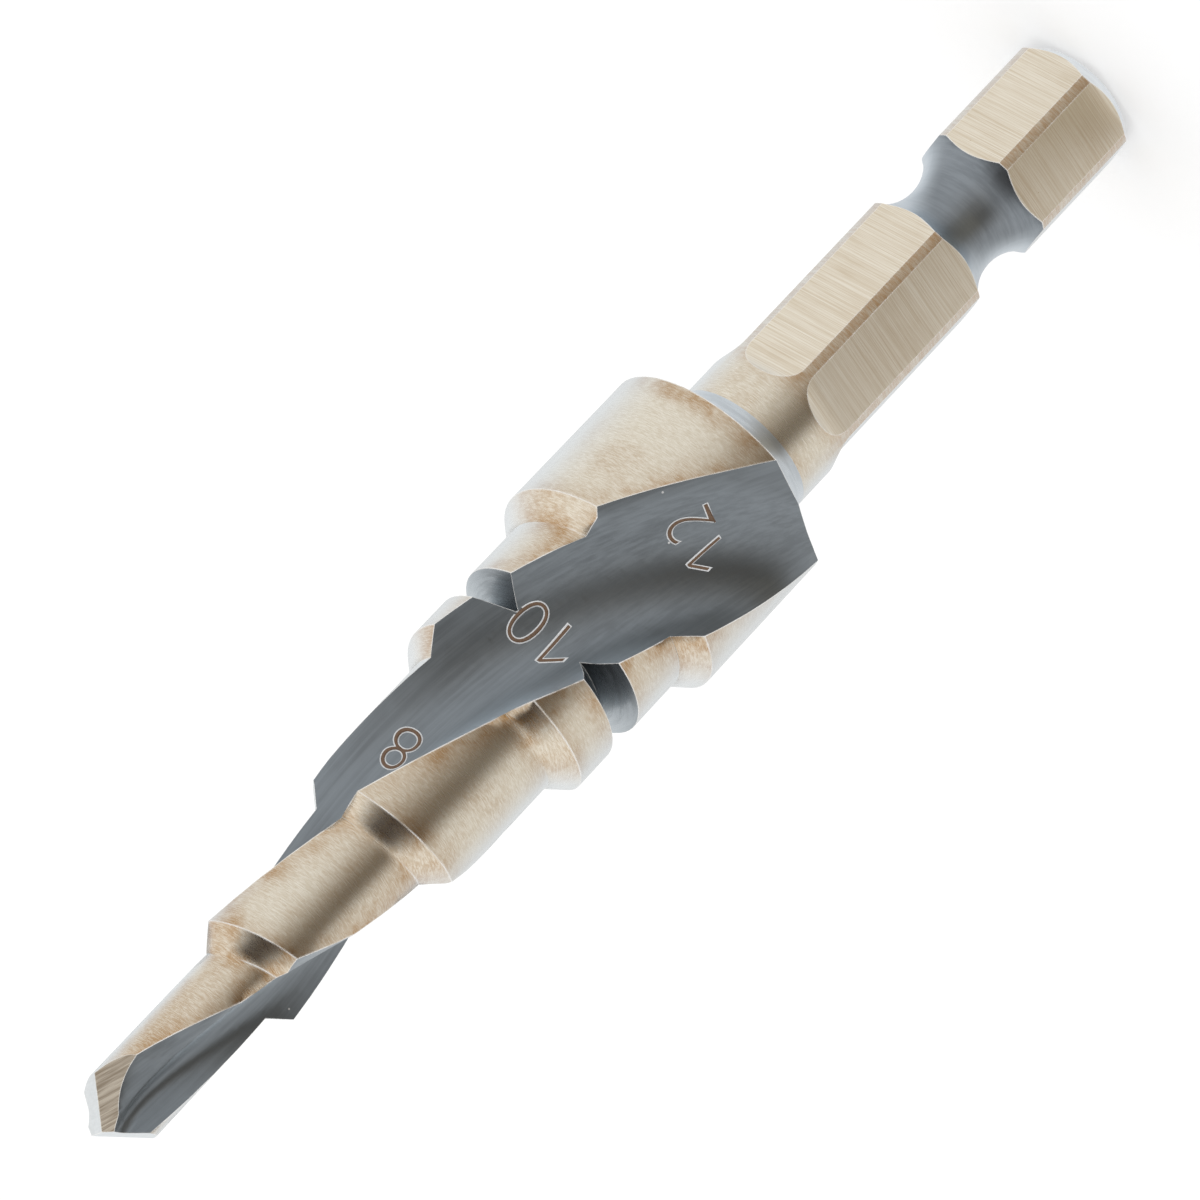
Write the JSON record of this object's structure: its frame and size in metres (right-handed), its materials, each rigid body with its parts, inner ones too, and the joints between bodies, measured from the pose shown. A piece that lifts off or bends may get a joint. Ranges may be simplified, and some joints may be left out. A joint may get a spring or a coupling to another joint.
{
  "type": "step drill",
  "caption": "Spiral flute step drill with stepped cutting diameters, a chip breaking groove and a hexagon shank with a detent groove.",
  "frame": {"origin": "centre of the flat end face of the shank, on the drill's axis", "axes": "+Z along the drill's axis from the shank end to the point, +Y square to one flat of the hexagon, +X through a corner of the hexagon"},
  "size_m": [0.0118, 0.0118, 0.0684],
  "materials": {
    "tool_steel": "ground high speed steel, straw gold on the lands and shank, bare grey in the flutes and grooves"
  },
  "bodies": {
    "root": {"step_drill": "tool_steel"}
  },
  "joints": []
}
